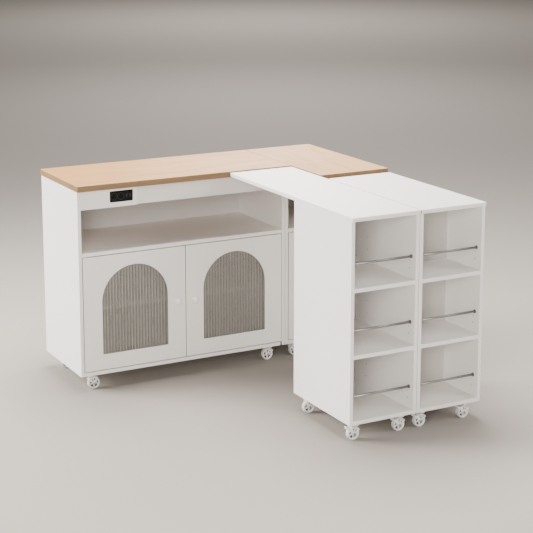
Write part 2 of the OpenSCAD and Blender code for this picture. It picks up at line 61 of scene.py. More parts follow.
class Shader:
    """A small helper that adds and links the nodes of one Principled material."""

    def __init__(self, name, color, roughness, **inputs):
        self.mat = bpy.data.materials.new(name)
        self.mat.use_nodes = True
        self.tree = self.mat.node_tree
        self.bsdf = self.tree.nodes["Principled BSDF"]
        self.bsdf.inputs["Base Color"].default_value = (*color, 1)
        self.bsdf.inputs["Roughness"].default_value = roughness
        for key, value in inputs.items():
            self.bsdf.inputs[key.replace("_", " ")].default_value = value
        self.place = self.add("ShaderNodeTexCoord").outputs["Object"]

    def add(self, kind, **values):
        node = self.tree.nodes.new(kind)
        for key, value in values.items():
            setattr(node, key, value)
        return node

    def link(self, a, b):
        self.tree.links.new(a, b)

    def mapped(self, scale=(1, 1, 1), offset=(0, 0, 0)):
        node = self.add("ShaderNodeMapping")
        node.inputs["Scale"].default_value = scale
        node.inputs["Location"].default_value = offset
        self.link(self.place, node.inputs["Vector"])
        return node.outputs["Vector"]

    def noise(self, vector, scale=1.0, detail=3.0, rough=0.55, distortion=0.0):
        node = self.add("ShaderNodeTexNoise")
        node.inputs["Scale"].default_value = scale
        node.inputs["Detail"].default_value = detail
        node.inputs["Roughness"].default_value = rough
        node.inputs["Distortion"].default_value = distortion
        self.link(vector, node.inputs["Vector"])
        return node.outputs["Fac"]

    def ramp(self, factor, stops):
        node = self.add("ShaderNodeValToRGB")
        while len(node.color_ramp.elements) < len(stops):
            node.color_ramp.elements.new(0.5)
        for element, (at, color) in zip(node.color_ramp.elements, stops):
            element.position = at
            element.color = (*color, 1)
        self.link(factor, node.inputs["Fac"])
        return node.outputs["Color"]

    def spread(self, factor, low, high, from_low=0.3, from_high=0.7):
        node = self.add("ShaderNodeMapRange")
        node.inputs["From Min"].default_value = from_low
        node.inputs["From Max"].default_value = from_high
        node.inputs["To Min"].default_value = low
        node.inputs["To Max"].default_value = high
        self.link(factor, node.inputs["Value"])
        return node.outputs["Result"]

    def mix(self, factor, a, b):
        """Mixes two colours, each of them a constant or another node's output."""
        node = self.add("ShaderNodeMix", data_type="RGBA")
        self.link(factor, node.inputs[0])
        for socket, value in ((MIX_A, a), (MIX_B, b)):
            if isinstance(value, tuple):
                node.inputs[socket].default_value = (*value, 1)
            else:
                self.link(value, node.inputs[socket])
        return node.outputs[MIX_RESULT]

    def color(self, output):
        self.link(output, self.bsdf.inputs["Base Color"])

    def roughness(self, output):
        self.link(output, self.bsdf.inputs["Roughness"])

    def bump(self, height, strength, distance):
        node = self.add("ShaderNodeBump")
        node.inputs["Strength"].default_value = strength
        node.inputs["Distance"].default_value = distance
        self.link(height, node.inputs["Height"])
        previous = self.bsdf.inputs["Normal"]
        if previous.is_linked:
            self.link(previous.links[0].from_socket, node.inputs["Normal"])
        self.link(node.outputs["Normal"], previous)


def shade(color, k):
    return tuple(c * k for c in color)


def laminate(name, color, rough=0.42):
    """Melamine board: an even colour with faint clouds, a fine pebble grain and small gloss changes."""
    s = Shader(name, color, rough)
    clouds = s.noise(s.mapped(), scale=2.3, detail=3)
    specks = s.noise(s.mapped(), scale=620, detail=2)
    gloss = s.noise(s.mapped(), scale=36, detail=4)
    pebbles = s.noise(s.mapped(), scale=480, detail=3)
    base = s.mix(s.spread(clouds, 0, 1), shade(color, 0.975), color)
    s.color(s.mix(s.spread(specks, 0, 0.35), base, shade(color, 0.965)))
    s.roughness(s.spread(gloss, rough - 0.05, rough + 0.07))
    s.bump(pebbles, strength=0.10, distance=0.2 * MM)
    return s.mat


def oak(name, along, light, mid, dark, rough=0.46):
    """Oak veneer with its grain along X (0) or Y (1): broad figure, fine streaks and short dark pores."""
    def stretched(length, cross, offset=(0, 0, 0)):
        scale = [cross] * 3
        scale[along] = length
        return s.mapped(tuple(scale), offset)

    s = Shader(name, mid, rough)
    figure = s.noise(stretched(1.5, 9), detail=5, rough=0.6, distortion=1.6)
    streaks = s.noise(stretched(3.0, 80, (3.1, 1.7, 0)), detail=5, rough=0.62, distortion=0.35)
    pores = s.noise(stretched(26, 640, (0.4, 8.2, 0)), detail=2, rough=0.5)
    patches = s.noise(stretched(0.9, 2.2, (5.2, 3.3, 0)), detail=2, rough=0.5)
    base = s.ramp(figure, ((0.30, dark), (0.47, mid), (0.66, light)))
    base = s.mix(s.spread(streaks, 0, 0.55, 0.42, 0.72), base, dark)
    base = s.mix(s.spread(patches, 0, 0.35), base, light)
    s.color(s.mix(s.spread(pores, 0, 0.42, 0.60, 0.74), base, shade(dark, 0.62)))
    s.roughness(s.spread(streaks, rough - 0.06, rough + 0.08))
    s.bump(pores, strength=0.18, distance=0.3 * MM)
    s.bump(streaks, strength=0.10, distance=0.3 * MM)
    return s.mat


def plastic(name, color, rough, grain, **inputs):
    """Moulded plastic: a slight tone change, a fine texture and uneven gloss."""
    s = Shader(name, color, rough, **inputs)
    tone = s.noise(s.mapped(), scale=60, detail=3)
    gloss = s.noise(s.mapped(), scale=210, detail=3)
    s.color(s.mix(s.spread(tone, 0, 1), shade(color, 0.93), color))
    s.roughness(s.spread(gloss, rough - 0.05, rough + 0.08))
    s.bump(s.noise(s.mapped(), scale=grain, detail=2), strength=0.12, distance=0.1 * MM)
    return s.mat


def metal(name, color, rough, brush=None):
    """Metal with faint smudges and fine lines, which run along one axis (0 is X) where it is brushed."""
    s = Shader(name, color, rough, Metallic=1.0)
    scale = [900.0] * 3
    if brush is not None:
        scale[brush] = 14.0
    lines = s.noise(s.mapped(tuple(scale)), detail=3)
    smudge = s.noise(s.mapped(), scale=45, detail=4)
    s.color(s.mix(s.spread(smudge, 0, 1), shade(color, 0.88), color))
    s.roughness(s.spread(lines, rough * 0.75, rough * 1.5))
    s.bump(lines, strength=0.05, distance=0.1 * MM)
    return s.mat


def fluted_glass(name, color, clear):
    """Cast glass with a faint tint and small ripples: the less clear it is, the milkier it looks."""
    s = Shader(name, color, 0.10, Transmission_Weight=clear, IOR=1.50, Alpha=0.86)
    dust = s.noise(s.mapped((1, 1, 0.25)), scale=55, detail=4)
    ripples = s.noise(s.mapped((1, 1, 0.4)), scale=120, detail=3)
    s.color(s.mix(s.spread(dust, 0, 1), shade(color, 0.93), color))
    s.roughness(s.spread(dust, 0.06, 0.14))
    s.bump(ripples, strength=0.06, distance=0.3 * MM)
    return s.mat


WHITE = (0.86, 0.832, 0.798)
# Each oak has a light, a middle and a dark tone. The edges are painted darker than the faces: painted shade
# on the tops' sides.
OAK = ((0.57, 0.30, 0.088), (0.50, 0.25, 0.071), (0.40, 0.195, 0.057))
OAK_SHADED_EDGE = ((0.27, 0.165, 0.078), (0.22, 0.13, 0.058), (0.15, 0.083, 0.035))
M = {
    "board": laminate("white_board", WHITE),
    "edge": laminate("white_edge_band", (0.86, 0.834, 0.80), rough=0.36),
    "top": laminate("white_top", (0.90, 0.878, 0.852), rough=0.38),
    # Dark grey for the doors' sides, the window reveals and the edge where the unit tops meet: painted
    # shade in the gaps.
    "painted_gap_shade": laminate("painted_gap_shade_band", (0.25, 0.235, 0.22), rough=0.5),
    # The back panels are a darker grey than the boards: painted shade at the back of the compartments.
    "painted_shade_back": laminate("back_panel", (0.56, 0.534, 0.505), rough=0.55),
    # The aprons are a darker white: painted shade under the tops' overhang.
    "apron": laminate("apron_painted_shade", (0.76, 0.732, 0.698)),
    "oak_x": oak("oak_along_x", 0, *OAK),
    "oak_y": oak("oak_along_y", 1, *OAK),
    "oak_shaded_edge_x": oak("oak_shaded_edge_x", 0, *OAK_SHADED_EDGE),
    "oak_shaded_edge_y": oak("oak_shaded_edge_y", 1, *OAK_SHADED_EDGE),
    # The flanks' glass is darker and the crests' glass paler: painted shade and painted highlight along the
    # ribs.
    "glass": fluted_glass("fluted_glass", (0.44, 0.42, 0.378), clear=0.68),
    "glass_crest": fluted_glass("fluted_glass_painted_highlight", (0.76, 0.73, 0.675), clear=0.64),
    "knob": plastic("knob_white", (0.93, 0.925, 0.91), rough=0.18, grain=300),
    "chrome": metal("chrome_rail", (0.33, 0.325, 0.32), rough=0.42, brush=0),
    "steel": metal("zinc_steel", (0.55, 0.55, 0.56), rough=0.34),
    "dark_steel": metal("dark_socket", (0.16, 0.16, 0.16), rough=0.38),
    "black": plastic("outlet_black", (0.004, 0.004, 0.004), rough=0.45, grain=900,
                     Specular_IOR_Level=0.12),
    "black_gloss": plastic("outlet_insert", (0.005, 0.005, 0.005), rough=0.38, grain=900,
                           Specular_IOR_Level=0.12),
    "slot_dark": plastic("outlet_slots", (0.055, 0.055, 0.056), rough=0.6, grain=900,
                         Specular_IOR_Level=0.1),
    "caster": plastic("caster_body", (0.86, 0.845, 0.82), rough=0.30, grain=500),
    "tread": plastic("caster_tread", (0.66, 0.645, 0.62), rough=0.42, grain=500),
    # Near-black for the disc between hub and rim: painted shade in the wheel's pockets.
    "pocket_shade": plastic("caster_pocket_shade", (0.07, 0.068, 0.065), rough=0.55, grain=500),
    # Dark grey for the walls of the drilled holes and the screws' crosses: painted shade in holes and
    # recesses.
    "hole": plastic("painted_hole_shade", (0.22, 0.20, 0.18), rough=0.8, grain=900),
}

# ---------------------------------------------------------------- mesh helpers

NEARLY_ZERO = 1e-7
LATHE_TURN = {
    "X": Matrix.Rotation(math.radians(90), 4, "Y"),
    "Y": Matrix.Rotation(math.radians(-90), 4, "X"),
    "Z": Matrix.Identity(4),
}


def evaluated_mesh(holder):
    """The mesh of an object once its curve or its modifiers are worked out."""
    bpy.context.view_layer.update()
    return bpy.data.meshes.new_from_object(holder.evaluated_get(bpy.context.evaluated_depsgraph_get()))


class Build:
    """Collects shapes of several materials in one bmesh and turns them into one piece."""

    def __init__(self, name, body, slot, nodes=(), materials=("board",)):
        self.name, self.body, self.slot, self.nodes = name, body, slot, nodes
        self.materials = list(materials)
        self.bm = bmesh.new()
        self.matrix = Matrix.Identity(4)

    def index(self, material):
        if material not in self.materials:
            self.materials.append(material)
        return self.materials.index(material)

    def merge(self, part, material, smooth=False, edge=None, thin=None):
        """Adds a bmesh. Faces that don't face along the thin axis can take an edge material."""
        main = self.index(material)
        side = self.index(edge) if edge else main
        for f in part.faces:
            f.material_index = main
            f.smooth = smooth
            if edge and abs(f.normal[thin]) < 0.6:
                f.material_index = side
        part.transform(self.matrix)
        mesh = bpy.data.meshes.new("part")
        part.to_mesh(mesh)
        part.free()
        self.bm.from_mesh(mesh)
        bpy.data.meshes.remove(mesh)

    def box(self, lo, hi, material="board", bevel=0.7 * MM, edge=None):
        """A block between two corners, with softened edges."""
        lo, hi = Vector(lo), Vector(hi)
        size = hi - lo
        part = bmesh.new()
        bmesh.ops.create_cube(part, size=1)
        for v in part.verts:
            v.co = Vector([lo[i] + (v.co[i] + 0.5) * size[i] for i in range(3)])
        if bevel:
            bmesh.ops.bevel(part, geom=part.edges[:], offset=bevel, segments=2, affect="EDGES", profile=0.5)
        self.merge(part, material, False, edge, min(range(3), key=lambda i: size[i]))

    def lathe(self, profile, at, axis="Y", material="board", steps=40, closed=False):
        """Turns (radius, height) points round an axis through a point."""
        part = bmesh.new()
        angles = [2 * math.pi * k / steps for k in range(steps)]
        rings = []
        for r, h in profile:
            if r > NEARLY_ZERO:
                rings.append([part.verts.new((r * math.cos(a), r * math.sin(a), h)) for a in angles])
            else:
                rings.append([part.verts.new((0, 0, h))] * steps)
        pairs = list(zip(rings, rings[1:]))
        if closed:
            pairs.append((rings[-1], rings[0]))
        for low, high in pairs:
            for k in range(steps):
                after = (k + 1) % steps
                unique = list(dict.fromkeys((low[k], low[after], high[after], high[k])))
                if len(unique) > 2:
                    part.faces.new(unique)
        if not closed:
            for ring, (r, _) in ((rings[0], profile[0]), (rings[-1], profile[-1])):
                if r > NEARLY_ZERO:
                    part.faces.new(ring)
        bmesh.ops.recalc_face_normals(part, faces=part.faces[:])
        part.transform(Matrix.Translation(Vector(at)) @ LATHE_TURN[axis])
        self.merge(part, material, True)

    def plate(self, outlines, t0, t1, plane="XZ", material="board", bevel=0.5 * MM, edge=None):
        """A flat plate from t0 to t1. Its first outline is the outside, and the others are holes."""
        curve = bpy.data.curves.new("plate", "CURVE")
        curve.dimensions = "2D"
        curve.fill_mode = "BOTH"
        curve.extrude = (t1 - t0) / 2 - bevel
        curve.bevel_depth = bevel
        curve.bevel_resolution = 1
        curve.offset = -bevel
        for points in outlines:
            spline = curve.splines.new("POLY")
            spline.points.add(len(points) - 1)
            for p, (x, y) in zip(spline.points, points):
                p.co = (x, y, 0, 1)
            spline.use_cyclic_u = True
        holder = bpy.data.objects.new("plate", curve)
        bpy.context.scene.collection.objects.link(holder)
        mesh = evaluated_mesh(holder)
        part = bmesh.new()
        part.from_mesh(mesh)
        bpy.data.objects.remove(holder)
        bpy.data.curves.remove(curve)
        bpy.data.meshes.remove(mesh)
        bmesh.ops.remove_doubles(part, verts=part.verts[:], dist=1e-6)
        bmesh.ops.recalc_face_normals(part, faces=part.faces[:])
        mid = (t0 + t1) / 2
        if plane == "XZ":
            part.transform(Matrix.Translation((0, mid, 0)) @ Matrix.Rotation(math.radians(90), 4, "X"))
        else:
            part.transform(Matrix.Translation((0, 0, mid)))
        part.normal_update()
        self.merge(part, material, False, edge, 1 if plane == "XZ" else 2)

    def done(self):
        mesh = bpy.data.meshes.new(self.name)
        self.bm.to_mesh(mesh)
        self.bm.free()
        for m in self.materials:
            mesh.materials.append(M[m])
        piece = bpy.data.objects.new(self.name, mesh)
        bpy.context.scene.collection.objects.link(piece)
        if self.nodes:
            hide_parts(*self.nodes)
        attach(piece, self.body)
        return piece


def in_mm(*points):
    return [(x * MM, y * MM) for x, y in points]


def arc(cx, cy, r, a0, a1, steps):
    """Points on a circle, from one angle to another in degrees."""
    angles = [math.radians(a0 + (a1 - a0) * k / steps) for k in range(steps + 1)]
    return [(cx + r * math.cos(a), cy + r * math.sin(a)) for a in angles]


def rounded(x0, y0, x1, y1, radii, steps=8):
    """A rectangle whose corners are rounded: radii start at the low corner and go counter-clockwise."""
    a, b, c, d = radii if isinstance(radii, tuple) else (radii,) * 4
    return (arc(x0 + a, y0 + a, a, 180, 270, steps) + arc(x1 - b, y0 + b, b, 270, 360, steps)
            + arc(x1 - c, y1 - c, c, 0, 90, steps) + arc(x0 + d, y1 - d, d, 90, 180, steps))


def centred(x, z, w, h, radius, steps):
    """A rounded rectangle round its middle."""
    return rounded(x - w / 2, z - h / 2, x + w / 2, z + h / 2, radius, steps)


def grown(lo, hi, out_x, out_z, radius, steps):
    """The rounded outline of a box's front, moved outwards in X and in Z."""
    return rounded(lo.x - out_x, lo.z - out_z, hi.x + out_x, hi.z + out_z, radius, steps)


def arch(cx, z0, w, z1, steps=48):
    """The outline of an arched window: straight sides and a half circle on top."""
    r = w / 2
    return [(cx - r, z0), (cx + r, z0)] + arc(cx, z1 - r, r, 0, 180, steps)


def corners(node):
    lo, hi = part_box(node)
    return Vector(lo), Vector(hi)


def cut_with(piece, cutter, material):
    """Takes a bmesh out of a piece. The cut faces get this material."""
    mesh = bpy.data.meshes.new("cutter")
    cutter.to_mesh(mesh)
    cutter.free()
    mesh.materials.append(M[material])
    tool = bpy.data.objects.new("cutter", mesh)
    bpy.context.scene.collection.objects.link(tool)
    modifier = piece.modifiers.new("cut", "BOOLEAN")
    modifier.object = tool
    modifier.solver = "EXACT"
    modifier.material_mode = "TRANSFER"
    result = evaluated_mesh(piece)
    piece.modifiers.clear()
    piece.data = result
    bpy.data.objects.remove(tool)


def drill(piece, spots, radius, depth):
    """Drills blind holes along X into a piece, at spots on its face."""
    turn = Matrix.Rotation(math.radians(90), 4, "Y")
    cutter = bmesh.new()
    for spot in spots:
        made = bmesh.ops.create_cone(cutter, cap_ends=True, segments=14, radius1=radius, radius2=radius,
                                     depth=2 * depth)
        bmesh.ops.transform(cutter, verts=made["verts"], matrix=Matrix.Translation(spot) @ turn)
    # The holes' walls take the dark grey: painted shade inside the holes.
    cut_with(piece, cutter, "hole")


def carve(piece, outline, y0, y1):
    """Cuts an upright prism with this outline in X and Z out of a piece, between two depths."""
    cutter = Build("cutter", None, None)
    cutter.plate([outline], y0, y1, "XZ", "board", 0.01 * MM)
    cut_with(piece, cutter.bm, "board")


# ---------------------------------------------------------------- boards

PANEL = 15 * MM
BOARD = 16 * MM
LINK_NOTCH_W, LINK_NOTCH_D = 7 * MM, 44 * MM
SCREW_R = 3.5 * MM
SCREW_RISE = 0.6 * MM
SCREW_INSET = 12 * MM
SCREW_ROWS = 6


def wooden_top(node, grain, radii):
    lo, hi = corners(node)
    oak_face, oak_shaded_edge = "oak_" + grain, "oak_shaded_edge_" + grain
    b = Build(node + "_oak", "cabinet", "wood_top", (node,), (oak_face,))
    # The darker edge oak is painted shade on the top's sides.
    b.plate([rounded(lo.x, lo.y, hi.x, hi.y, radii, 10)], lo.z, hi.z, "XY", oak_face, 1.6 * MM, oak_shaded_edge)
    b.done()


def boards(name, node, body, blocks):
    """White boards with edge bands, which stand in for one node."""
    b = Build(name, body, "white_board", (node,), ("board", "edge"))
    for lo, hi in blocks:
        b.box(lo, hi, "board", edge="edge")
    b.done()


wooden_top("main_top", "x", (10 * MM, 1 * MM, 1 * MM, 10 * MM))
wooden_top("side_top", "y", (2 * MM, 10 * MM, 10 * MM, 1 * MM))

for node in ("main_left_panel", "main_right_panel", "main_shelf", "main_inner_shelf"):
    boards(node + "_board", node, "cabinet", [corners(node)])
# The aprons take the darker white: painted shade under the tops.
for node in ("main_apron", "side_apron"):
    b = Build(node + "_board", "cabinet", "white_board", (node,), ("apron",))
    b.box(*corners(node), "apron")
    b.done()

# The main bottom panel has a notch for the link at its front right corner.
lo, hi = corners("main_bottom_panel")
notch = (hi.x - LINK_NOTCH_W, lo.y + LINK_NOTCH_D)
b = Build("main_bottom_board", "cabinet", "white_board", ("main_bottom_panel",), ("board", "edge"))
b.plate([[(lo.x, lo.y), (notch[0], lo.y), notch, (hi.x, notch[1]), (hi.x, hi.y), (lo.x, hi.y)]],
        lo.z, hi.z, "XY", "board", 0.6 * MM, "edge")
b.done()

lo, hi = corners("side_panels")
boards("side_panel_boards", "side_panels", "cabinet",
       [(lo, (lo.x + PANEL, hi.y, hi.z)), ((hi.x - PANEL, lo.y, lo.z), hi)])
lo, hi = corners("side_shelves")
inner_front = corners("main_inner_shelf")[0]
boards("side_shelf_boards", "side_shelves", "cabinet",
       [(lo, (hi.x, hi.y, lo.z + BOARD)),
        ((lo.x, inner_front.y, inner_front.z), (hi.x, hi.y, inner_front.z + BOARD)),
        ((lo.x, lo.y, hi.z - BOARD), hi)])


def screws(b, spots):
    """Countersunk screw heads, a little proud of the rear face they sit in, with a dark grey cross on top:
    painted shade standing for a cross recess.
    """
    head = [(SCREW_R, -1.2 * MM), (SCREW_R, 0.4 * SCREW_RISE), (0.8 * SCREW_R, SCREW_RISE), (0, SCREW_RISE)]
    for spot in spots:
        b.lathe(head, spot, "Y", "steel", 16)
        centre = Vector(spot) + Vector((0, SCREW_RISE, 0))
        for along in (0, 2):
            half = Vector((0.13 * SCREW_R,) * 3)
            half[along] = 0.62 * SCREW_R
            b.box(centre - half, centre + half, "hole", 0)


def back_board(name, node, body, columns):
    """An inset back panel held by small screws round its edge. Its darker grey is painted shade at the back
    of the compartments.
    """
    lo, hi = corners(node)
    b = Build(name, body, "white_board", (node,), ("painted_shade_back", "edge"))
    b.box(lo, hi, "painted_shade_back", 0.5 * MM, "edge")
    width, height = hi.x - lo.x - 2 * SCREW_INSET, hi.z - lo.z - 2 * SCREW_INSET
    xs = [lo.x + SCREW_INSET + width * k / (columns - 1) for k in range(columns)]
    zs = [lo.z + SCREW_INSET + height * k / (SCREW_ROWS - 1) for k in range(SCREW_ROWS)]
    screws(b, [(x, hi.y, z) for z in zs for x in (xs[0], xs[-1])])
    screws(b, [(x, hi.y, z) for x in xs[1:-1] for z in (zs[0], zs[-1])])
    b.done()


back_board("main_back_board", "main_back_panel", "cabinet", 6)
back_board("side_back_board", "side_back_panel", "cabinet", 3)
back_board("left_unit_back_board", "left_unit_back", "left_unit", 3)
back_board("right_unit_back_board", "right_unit_back", "right_unit", 3)

# ---------------------------------------------------------------- power outlet


def outlet_board():
    """The board that the outlet sits in, with a raised frame round the face plate."""
    lo, hi = corners("power_outlet")
    panel_lo, panel_hi = corners("outlet_panel")
    gap = 0.5 * MM
    front = panel_lo.y + 2 * MM
    hole = grown(lo, hi, gap, gap, 3 * MM, 5)
    b = Build("outlet_board", "cabinet", "white_board", ("outlet_panel",), ("board", "edge"))
    b.plate([grown(panel_lo, panel_hi, 0, 0, 0.4 * MM, 2), hole], front, panel_hi.y,
            "XZ", "board", 0.6 * MM, "edge")
    b.plate([grown(lo, hi, 12 * MM, 10 * MM, 6 * MM, 8), hole], panel_lo.y, front + 1 * MM,
            "XZ", "board", 0.9 * MM, "edge")
    b.done()


def power_outlet():
    """A black face plate and its housing, with two sockets and two charging ports."""
    lo, hi = corners("power_outlet")
    middle = (lo + hi) / 2
    band = 4.2 * MM
    insert = band + 0.4 * MM
    housing = 2.5 * MM
    socket_x = (middle.x - 34 * MM, middle.x - 2 * MM)
    port_x = (middle.x + 24 * MM, middle.x + 40 * MM)
    holes = []
    for x in socket_x:
        for side in (-6.3 * MM, 6.3 * MM):
            holes.append(centred(x + side, middle.z + 4 * MM, 2 * MM, 8 * MM, 0.4 * MM, 2))
        holes.append(arc(x, middle.z - 7.8 * MM, 2.6 * MM, 0, 345, 15))
    for x in port_x:
        holes.append(centred(x, middle.z, 4 * MM, 12 * MM, 0.5 * MM, 2))

    b = Build("power_outlet_face", "cabinet", "black_outlet", ("power_outlet",), ("black",))
    b.plate([grown(lo, hi, 0, 0, 3 * MM, 6), grown(lo, hi, -band, -band, 2 * MM, 6)], lo.y, lo.y + 6 * MM,
            "XZ", "black", 0.7 * MM)
    b.plate([grown(lo, hi, -insert, -insert, 1.8 * MM, 6)] + holes, lo.y + 1 * MM, lo.y + 5.2 * MM,
            "XZ", "black_gloss", 0.3 * MM)
    for x in socket_x:
        ring = [arc(x, middle.z - 0.5 * MM, r, 0, 352.5, 47) for r in (15 * MM, 13.8 * MM)]
        b.plate(ring, lo.y + 0.4 * MM, lo.y + 1.4 * MM, "XZ", "slot_dark", 0.2 * MM)
    for x in port_x:
        b.box((x - 0.6 * MM, lo.y + 1.6 * MM, middle.z - 5 * MM),
              (x + 0.6 * MM, lo.y + 5 * MM, middle.z + 5 * MM), "slot_dark", 0.2 * MM)
        b.plate([centred(x, middle.z, 6.8 * MM, 15 * MM, 1 * MM, 3),
                 centred(x, middle.z, 4.8 * MM, 12.8 * MM, 0.6 * MM, 3)],
                lo.y + 0.5 * MM, lo.y + 1.4 * MM, "XZ", "slot_dark", 0.2 * MM)
    b.box((lo.x + housing, lo.y + 5 * MM, lo.z + housing), (hi.x - housing, hi.y, hi.z - housing),
          "black", 1.5 * MM)
    b.done()


outlet_board()
power_outlet()

# ---------------------------------------------------------------- doors

DOORS = (("door_left", "left_door"), ("door_right", "right_door"), ("side_door", "side_cabinet_door"))
REBATE = 8 * MM
PANE_SLIP = 0.5 * MM
RIB = 14 * MM
RIB_SWELL = 2.2 * MM
# A rib's curve is made in this many strips, and these two in its middle are its crest, which takes paler
# glass as a painted highlight while the flanks take darker glass as painted shade.
RIB_STEPS = 8
PAINTED_HIGHLIGHT_STEPS = (3, 4)
CLIP_ANGLE = 55
LINK_T = 6.8 * MM

# The knob's radii and heights in mm, from its face to the door.
KNOB = ((0.0001, -23.0), (4, -23.0), (7.5, -22.3), (10.5, -20.6), (12.8, -18.0), (13.9, -15.2),
        (13.9, -13.6), (12.8, -10.8), (10.6, -8.6), (7.8, -7.3), (6.4, -6.4), (5.8, -4.6), (6.0, -2.6),
        (7.4, -1.4), (8.6, -1.0), (8.8, -0.4), (8.8, 0.0))


def ribbed_pane(b, cx, z0, w, z1, y_front, y_back):
    """An arched pane whose front is cast in upright convex ribs, with paler glass along their crests as a
    painted highlight and darker glass on their flanks as painted shade.
    """
    part = bmesh.new()
    r = w / 2
    count = round(w / RIB)
    columns = []
    for k in range(count * RIB_STEPS + 1):
        rib, step = divmod(k, RIB_STEPS)
        turn = math.pi * step / RIB_STEPS
        x = cx - r + w * (rib + 0.5 - 0.5 * math.cos(turn)) / count
        y = y_front + RIB_SWELL * (1 - math.sin(turn))
        top = max(z1 - r + math.sqrt(max(r * r - (x - cx) ** 2, 0)), z0 + 1 * MM)
        outline = ((x, y, z0), (x, y, top), (x, y_back, top), (x, y_back, z0))
        columns.append([part.verts.new(p) for p in outline])
    shaded_flank, lit_crest = b.index("glass"), b.index("glass_crest")
    for k, (a, c) in enumerate(zip(columns, columns[1:])):
        for i in range(4):
            face = part.faces.new((a[i], a[(i + 1) % 4], c[(i + 1) % 4], c[i]))
            face.smooth = i == 0
            face.material_index = lit_crest if i == 0 and k % RIB_STEPS in PAINTED_HIGHLIGHT_STEPS else shaded_flank
    for groove in columns[::RIB_STEPS]:
        part.edges.get(groove[:2]).smooth = False
    part.faces.new(columns[0])
    part.faces.new(columns[-1])
    bmesh.ops.recalc_face_normals(part, faces=part.faces[:])
    mesh = bpy.data.meshes.new("pane")
    part.to_mesh(mesh)
    part.free()
    b.bm.from_mesh(mesh)
    bpy.data.meshes.remove(mesh)


def door_leaf(node, body):
    """A leaf with an arched window, and the wider pocket behind it that the pane sits in. Its sides and the
    window's reveals are dark grey: painted shade in the gaps round the leaf.
    """
    lo, hi = corners(node)
    glass_lo, glass_hi = corners(node + "_glass")
    cx = (glass_lo.x + glass_hi.x) / 2
    width = glass_hi.x - glass_lo.x + 2 * PANE_SLIP
    bottom, top = glass_lo.z - PANE_SLIP, glass_hi.z + PANE_SLIP
    window = arch(cx, bottom + REBATE, width - 2 * REBATE, top - REBATE)
    b = Build(node + "_leaf", body, "white_board", (node,), ("board", "painted_gap_shade"))
    b.plate([grown(lo, hi, 0, 0, 0.4 * MM, 2), window], lo.y, hi.y, "XZ", "board", 0.8 * MM, "painted_gap_shade")
    carve(b.done(), arch(cx, bottom, width, top), glass_lo.y, hi.y + 10 * MM)


def door_pane(node, body):
    lo, hi = corners(node + "_glass")
    b = Build(node + "_pane", body, "fluted_glass", (node + "_glass",), ("glass",))
    ribbed_pane(b, (lo.x + hi.x) / 2, lo.z, hi.x - lo.x, hi.z, lo.y + 0.1 * MM, hi.y)
    b.done()


def door_clips(node, body):
    """Turn clips that hold the pane from behind."""
    back = corners(node)[1].y
    lo, hi = corners(node + "_glass")
    cx = (lo.x + hi.x) / 2
    r = (hi.x - lo.x) / 2 + PANE_SLIP
    spring = hi.z + PANE_SLIP - r
    spots = [(cx, lo.z - PANE_SLIP, 90)]
    for z in (lo.z + 70 * MM, spring - 10 * MM):
        spots += [(cx - r, z, 0), (cx + r, z, 180)]
    if r > 100 * MM:
        across, up = r * math.cos(math.radians(CLIP_ANGLE)), r * math.sin(math.radians(CLIP_ANGLE))
        spots += [(cx - across, spring + up, -CLIP_ANGLE), (cx + across, spring + up, 180 + CLIP_ANGLE)]
    b = Build(node + "_clips", body, "white_knob", (), ("caster",))
    for x, z, angle in spots:
        b.matrix = Matrix.Translation((x, back, z)) @ Matrix.Rotation(math.radians(-angle), 4, "Y")
        b.plate([rounded(-11 * MM, -5 * MM, 9 * MM, 5 * MM, 3.5 * MM, 6)], 0, 2.2 * MM, "XZ", "caster")
        b.box((-1 * MM, -1.8 * MM, -4 * MM), (9 * MM, 0.4 * MM, 4 * MM), "caster", 0.4 * MM)
        b.lathe(in_mm((2.8, 2.0), (2.8, 2.8), (1.8, 3.4), (0, 3.4)), (-6.5 * MM, 0, 0), "Y", "steel", 14)
    b.done()


def door_knob(node, body):
    lo, hi = corners(node + "_knob")
    b = Build(node + "_knob_turned", body, "white_knob", (node + "_knob",), ("knob",))
    b.lathe(in_mm(*KNOB), ((lo.x + hi.x) / 2, hi.y, (lo.z + hi.z) / 2), "Y", "knob", 48)
    b.done()


for node, body in DOORS:
    door_leaf(node, body)
    door_pane(node, body)
    door_clips(node, body)
    door_knob(node, body)

# The link is a black block with a bolt through it.
lo, hi = corners("cabinet_link")
b = Build("cabinet_link_block", "cabinet", "black_fitting", ("cabinet_link",), ("black",))
b.box((lo.x, lo.y, lo.z), (lo.x + LINK_T, hi.y, hi.z), "black", 0.8 * MM)
b.lathe(in_mm((3, 0), (3, 36)), (lo.x + 4 * MM, lo.y + 22 * MM, (lo.z + hi.z) / 2), "X", "steel", 20)
b.done()

for slot in frame["nodes"]["door_hinges"].material_slots:
    slot.material = M["steel"]

# ---------------------------------------------------------------- shelf units

# Heights of the shelf-pin holes above the floor in mm, by how far behind the panel's front they are.
PIN_HOLES = {41: (657, 686, 393, 421, 128, 157), 350: (664, 715, 395, 447, 125, 177)}
RAIL_R = 5 * MM
RAIL_RISE = 7 * MM
# A rail socket's radii and distances from the panel in mm.
SOCKET = ((8.2, 0), (8.2, 1.2), (7.2, 2.0), (6.8, 5.8), (6.2, 6.6), (5.0, 6.6))


def shelf_pitch(unit):
    lo, hi = corners(f"{unit}_unit_shelves")
    return (hi.z - lo.z - BOARD) / 2


